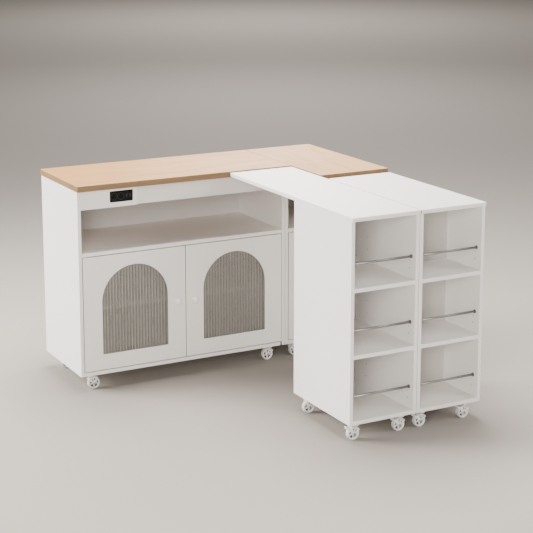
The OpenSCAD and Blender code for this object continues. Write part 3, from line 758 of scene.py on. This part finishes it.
def unit_top(unit):
    """A white top. The long edge that meets the other unit's top is dark grey: painted shade in the joint
    between the tops.
    """
    lo, hi = corners(f"{unit}_unit_top")
    b = Build(f"{unit}_unit_top_slab", f"{unit}_unit", "white_top", (f"{unit}_unit_top",), ("top", "edge"))
    b.plate([rounded(lo.x, lo.y, hi.x, hi.y, 4 * MM, 6)], lo.z, hi.z, "XY", "top", 1 * MM, "edge")
    joint = b.index("painted_gap_shade")
    facing = 1 if unit == "left" else -1
    for face in b.bm.faces:
        if face.normal.x * facing > 0.9:
            face.material_index = joint
    b.done()


def unit_sides(unit):
    """Two drilled side panels. Together they stand in for one node, which the left one names."""
    lo, hi = corners(f"{unit}_unit_sides")
    for label, x0, x1, inner_x, nodes in (
            ("left", lo.x, lo.x + PANEL, lo.x + PANEL, (f"{unit}_unit_sides",)),
            ("right", hi.x - PANEL, hi.x, hi.x - PANEL, ())):
        b = Build(f"{unit}_unit_{label}_panel", f"{unit}_unit", "white_board", nodes,
                  ("board", "edge", "hole"))
        b.box((x0, lo.y, lo.z), (x1, hi.y, hi.z), "board", edge="edge")
        spots = [(inner_x, lo.y + row * MM, z * MM) for row, heights in PIN_HOLES.items() for z in heights]
        drill(b.done(), spots, 2.6 * MM, 6 * MM)


def unit_shelves(unit):
    """A bottom and two shelves, which a panel in mid-depth parts in two."""
    lo, hi = corners(f"{unit}_unit_shelves")
    back_lo, back_hi = corners(f"{unit}_unit_back")
    blocks = [(lo, (hi.x, hi.y, lo.z + BOARD))]
    for k in (1, 2):
        z = lo.z + k * shelf_pitch(unit)
        if hi.y - back_hi.y > BOARD:
            blocks.append(((lo.x, lo.y, z), (hi.x, back_lo.y, z + BOARD)))
            blocks.append(((lo.x, back_hi.y, z), (hi.x, hi.y, z + BOARD)))
        else:
            blocks.append(((lo.x, lo.y, z), (hi.x, hi.y, z + BOARD)))
    boards(f"{unit}_unit_shelf_boards", f"{unit}_unit_shelves", f"{unit}_unit", blocks)


def unit_rails(unit):
    """A rail with an end socket on either side, over the bottom and over each shelf."""
    lo, hi = corners(f"{unit}_unit_rails")
    width = hi.x - lo.x
    near = in_mm(*SOCKET)
    far = [(r, width - h) for r, h in near]
    b = Build(f"{unit}_unit_rail_tubes", f"{unit}_unit", "chrome_rail", (f"{unit}_unit_rails",),
              ("chrome", "dark_steel"))
    for k in range(3):
        at = (lo.x, (lo.y + hi.y) / 2, lo.z + RAIL_RISE + k * shelf_pitch(unit))
        b.lathe([(RAIL_R, 0), (RAIL_R, width)], at, "X", "chrome", 32)
        b.lathe(near, at, "X", "dark_steel", 32)
        b.lathe(far, at, "X", "dark_steel", 32)
    b.done()


for unit in UNITS:
    unit_top(unit)
    unit_sides(unit)
    unit_shelves(unit)
    unit_rails(unit)

# ---------------------------------------------------------------- casters

# A caster's wheel trails along +X behind its swivel axis. Profiles are radii and heights in mm.
WHEEL_R = 26 * MM
TRAIL = 14 * MM
WHEEL_AT = (TRAIL, 0, WHEEL_R)
AXIS = (0, 0, 0)
CROWN = 65.5
FORK_IN = 11.2 * MM
FORK_OUT = 13.7 * MM
HOOD_IN = 27.8 * MM
HOOD_OUT = 30.3 * MM
PEDAL_ANGLE = math.radians(42)
PEDAL_R = 31.5 * MM
PEDAL_TILT = -38
PEDAL = (TRAIL + PEDAL_R * math.cos(PEDAL_ANGLE), WHEEL_R + PEDAL_R * math.sin(PEDAL_ANGLE))
SPOKES = 5
TREAD = ((22.6, -9.0), (23.6, -9.6), (24.8, -9.4), (25.7, -8.4), (26.0, -6.5),
         (26.0, 6.5), (25.7, 8.4), (24.8, 9.4), (23.6, 9.6), (22.6, 9.0))
RIM = ((19.4, -8.6), (19.8, -9.6), (20.6, -10.0), (22.6, -10.0), (23.1, -9.5),
       (23.1, 9.5), (22.6, 10.0), (20.6, 10.0), (19.8, 9.6), (19.4, 8.6))
HUB = ((3.1, -9.6), (6.6, -10.0), (7.6, -9.4), (8.2, -7.5), (8.2, 7.5), (7.6, 9.4), (6.6, 10.0), (3.1, 9.6))
# The disc between hub and rim, near-black as painted shade in the wheel's pockets.
POCKET_SHADE_DISC = ((7, -1), (20.2, -1), (20.2, 1), (7, 1))
PLATE_RING = ((14.6, 67.6), (14.6, 66.8), (13.6, 66), (6, 66), (6, 69))
PLATE_SCREW = ((3.6, 67.2), (3.4, 66.4), (2.6, 65.7), (1.2, 65.4), (0, 65.4))
FORK_CROWN = ((3, CROWN), (11.8, CROWN), (13.4, CROWN - 1), (13.7, CROWN - 2.4), (13.7, CROWN - 8.5),
              (12.5, CROWN - 10.5), (3, CROWN - 10.5))


def caster_plate(b):
    half, screw = 21 * MM, 15 * MM
    b.plate([rounded(-half, -half, half, half, 4 * MM, 6)], 67 * MM, 70 * MM, "XY", "steel")
    b.lathe(in_mm(*PLATE_RING), AXIS, "Z", "steel", 36)
    for x in (-screw, screw):
        for y in (-screw, screw):
            b.lathe(in_mm(*PLATE_SCREW), (x, y, 0), "Z", "steel", 18)


def caster_fork(b, ear):
    """Two cheeks under a crown, joined by a hood over the wheel. A braked fork has ears for the pedal."""
    wheel = (TRAIL, WHEEL_R)
    b.lathe(in_mm(*FORK_CROWN), AXIS, "Z", "caster", 40)
    b.lathe(in_mm((4, CROWN - 2), (4, 69.5)), AXIS, "Z", "steel", 20)
    outline = arc(*wheel, HOOD_OUT, 40 if ear else 60, 150, 24) + arc(*wheel, 7.2 * MM, 170, 350, 14)
    windows = [arc(*wheel, 24.5 * MM, a0, a1, 6) + arc(*wheel, 10.5 * MM, a1 - 3, a0 + 3, 4)
               for a0, a1 in ((74, 98), (107, 136))]
    for side in (-1, 1):
        inner, outer = side * FORK_IN, side * FORK_OUT
        b.plate([outline] + windows, min(inner, outer), max(inner, outer), "XZ", "caster")
        if ear:
            boss = in_mm((0.1, 0), (4.2, 0), (4.2, side * 2.4), (3.4, side * 3), (0, side * 3))
            b.lathe(boss, (PEDAL[0], inner, PEDAL[1]), "Y", "caster", 24)
        cap = in_mm((5.6, 0), (5.6, side * 0.8), (4.4, side * 1.7), (2, side * 2.1), (0, side * 2.1))
        b.lathe(cap, (TRAIL, outer, WHEEL_R), "Y", "steel", 28)
    b.plate([arc(*wheel, HOOD_OUT + 0.2 * MM, 61, 151, 24) + arc(*wheel, HOOD_IN, 151, 61, 24)],
            -FORK_OUT, FORK_OUT, "XZ", "caster", 0.7 * MM)
    b.lathe([(3 * MM, -FORK_OUT), (3 * MM, FORK_OUT)], WHEEL_AT, "Y", "steel", 20)


def caster_wheel(b):
    """A tread on a rim, with a hub, a dark web between them and spokes through the web. The web's
    near-black is painted shade in the wheel's pockets.
    """
    for profile, material, steps in ((TREAD, "tread", 56), (RIM, "caster", 56),
                                     (HUB, "caster", 36), (POCKET_SHADE_DISC, "pocket_shade", 40)):
        b.lathe(in_mm(*profile), WHEEL_AT, "Y", material, steps, closed=True)
    outer = b.matrix
    for k in range(SPOKES):
        angle = math.radians(90 + 360 / SPOKES * k)
        b.matrix = outer @ Matrix.Translation(WHEEL_AT) @ Matrix.Rotation(angle, 4, "Y")
        b.box((7 * MM, -7.8 * MM, -1.9 * MM), (20.2 * MM, 7.8 * MM, 1.9 * MM), "caster", 0.6 * MM)
    b.matrix = outer


def caster_pedal(b):
    """A brake pedal between the ears, with three grip ridges on top."""
    half = FORK_IN - 0.4 * MM
    grip = half - 3 * MM
    outline = arc(0, 0, 3.3 * MM, 120, 300, 10) + in_mm((6, 0), (10.8, 0.4))
    outline += arc(10.8 * MM, 1.7 * MM, 1.3 * MM, -90, 90, 5) + in_mm((2, 3.2))
    outer = b.matrix
    tilt = Matrix.Rotation(math.radians(PEDAL_TILT), 4, "Y")
    b.matrix = outer @ Matrix.Translation((PEDAL[0], 0, PEDAL[1])) @ tilt
    b.plate([outline], -half, half, "XZ", "caster")
    for k in range(3):
        x = (4.5 + 2.4 * k) * MM
        b.box((x, -grip, 2.6 * MM), (x + 1 * MM, grip, 3.7 * MM), "caster", 0.3 * MM)
    b.matrix = outer


def spot_matrix(x, y, heading):
    return Matrix.Translation((x, y, 0)) @ Matrix.Rotation(math.radians(heading), 4, "Z")


joint_at = {j["name"]: j.get("pos_m") for j in frame["joints"]}
for unit in UNITS:
    spots = {c: spot_matrix(*joint_at[f"swivel_{unit}_{c}"][:2], 180) for c in CORNERS}
    b = Build(f"{unit}_unit_caster_mounts", f"{unit}_unit", "steel", (f"{unit}_unit_caster_plates",),
              ("steel",))
    for c in CORNERS:
        b.matrix = spots[c]
        caster_plate(b)
    b.done()
    for c in CORNERS:
        front = c[0] == "f"
        made = [(caster_fork, "fork", f"{unit}_caster_{c}", "caster_white", (front,)),
                (caster_wheel, "wheel", f"{unit}_rolling_wheel_{c}", "caster_wheel", ())]
        if front:
            made.append((caster_pedal, "pedal", f"{unit}_brake_{c}", "caster_white", ()))
        for make, part, body, slot, extra in made:
            b = Build(f"{unit}_{part}_{c}_moulded", body, slot, (f"{unit}_{part}_{c}",), ("caster",))
            b.matrix = spots[c]
            make(b, *extra)
            b.done()

# The casters under the cabinets don't move. Their swivel axes are this far inside the cabinets' outlines.
CAB_IN, CAB_FRONT, CAB_BACK = 56 * MM, 42 * MM, 62 * MM
cabinet_spots = []
for lo, hi in ((corners("main_left_panel")[0], corners("main_right_panel")[1]), corners("side_panels")):
    for y in (lo.y + CAB_FRONT, hi.y - CAB_BACK):
        cabinet_spots.append(spot_matrix(lo.x + CAB_IN, y, 0))
        cabinet_spots.append(spot_matrix(hi.x - CAB_IN, y, 180))
for name, make, slot, extra in (("cabinet_caster_mounts", caster_plate, "steel", ()),
                                ("cabinet_caster_forks", caster_fork, "caster_white", (False,)),
                                ("cabinet_caster_wheels", caster_wheel, "caster_wheel", ())):
    b = Build(name, "cabinet", slot, ("cabinet_casters",), ("caster",))
    for spot in cabinet_spots:
        b.matrix = spot
        make(b, *extra)
    b.done()

# ---------------------------------------------------------------- floor, lights and camera

FLOOR_R = 60
FLOOR_FADE = 12
# The floor's colour under the table is a painted shadow, and its far colour is a painted falloff of light.
FLOOR_PAINTED_SHADOW = (0.31, 0.284, 0.255)
FLOOR_NEAR = (0.415, 0.384, 0.348)
FLOOR_PAINTED_FALLOFF = (0.20, 0.182, 0.162)
WARM = (1.0, 0.965, 0.93)
WARM_LEFT = (1.0, 0.97, 0.935)
WARM_BACK = (1.0, 0.97, 0.94)
SKY = (1.0, 0.95, 0.905, 1)

floor_mesh = bpy.data.meshes.new("floor")
bm = bmesh.new()
bmesh.ops.create_circle(bm, cap_ends=True, segments=96, radius=FLOOR_R)
bm.to_mesh(floor_mesh)
bm.free()
floor = bpy.data.objects.new("floor", floor_mesh)
bpy.context.scene.collection.objects.link(floor)
# The floor is painted a little darker under the table, as a painted shadow, and it fades darker towards its
# far end, as a painted falloff of the lamps' light.
s = Shader("floor_painted_shadow_and_falloff", FLOOR_NEAR, 0.85, Specular_IOR_Level=0.15)
distance = s.add("ShaderNodeVectorMath", operation="LENGTH")
s.link(s.place, distance.inputs[0])
light_fade = s.spread(distance.outputs["Value"], 0, 1, 0, FLOOR_FADE)
s.color(s.ramp(light_fade, ((0.05, FLOOR_PAINTED_SHADOW), (0.13, FLOOR_NEAR), (1.0, FLOOR_PAINTED_FALLOFF))))
floor_mesh.materials.append(s.mat)


def area_light(name, at, target, size, power, color, spread=180):
    """A round lamp that the camera doesn't see: its size in metres, power in watts, spread in degrees."""
    data = bpy.data.lights.new(name, "AREA")
    data.shape = "DISK"
    data.size = size
    data.energy = power
    data.color = color
    data.spread = math.radians(spread)
    light = bpy.data.objects.new(name, data)
    light.location = at
    light.visible_camera = False
    light.rotation_euler = (Vector(target) - Vector(at)).to_track_quat("-Z", "Y").to_euler()
    bpy.context.scene.collection.objects.link(light)


area_light("left", (-3.9, 2.1, 2.4), (-0.3, 0.2, 0.4), 2.8, 205, WARM_LEFT, 100)
area_light("overhead", (0.5, 0.8, 4.5), (0.1, 0.1, 0), 3.0, 450, WARM)
area_light("front", (-3.0, -4.8, 1.9), (0.2, -0.3, 0.5), 2.2, 88, WARM, 100)
area_light("right", (3.1, -3.2, 3.0), (0.3, -0.3, 0.4), 2.8, 120, WARM)
area_light("backdrop", (4.4, 8.0, 4.4), (4.4, 8.0, 0), 2.5, 300, WARM_BACK)
area_light("far_backdrop", (8.2, 15.2, 6.0), (8.2, 15.2, 0), 3.0, 1050, WARM_BACK)

world = bpy.data.worlds.new("studio")
bpy.context.scene.world = world
world.use_nodes = True
background = world.node_tree.nodes["Background"]
background.inputs["Color"].default_value = SKY
background.inputs["Strength"].default_value = 0.30

camera = bpy.data.cameras.new("camera")
camera.sensor_width = 36
camera.lens = 101.8
camera.shift_y = -0.15
camera.clip_end = 200
camera_object = bpy.data.objects.new("camera", camera)
camera_object.location = (-2.869, -5.439, 2.138)
camera_object.rotation_euler = (math.radians(78.51), 0, math.radians(-28.25))
bpy.context.scene.collection.objects.link(camera_object)
bpy.context.scene.camera = camera_object
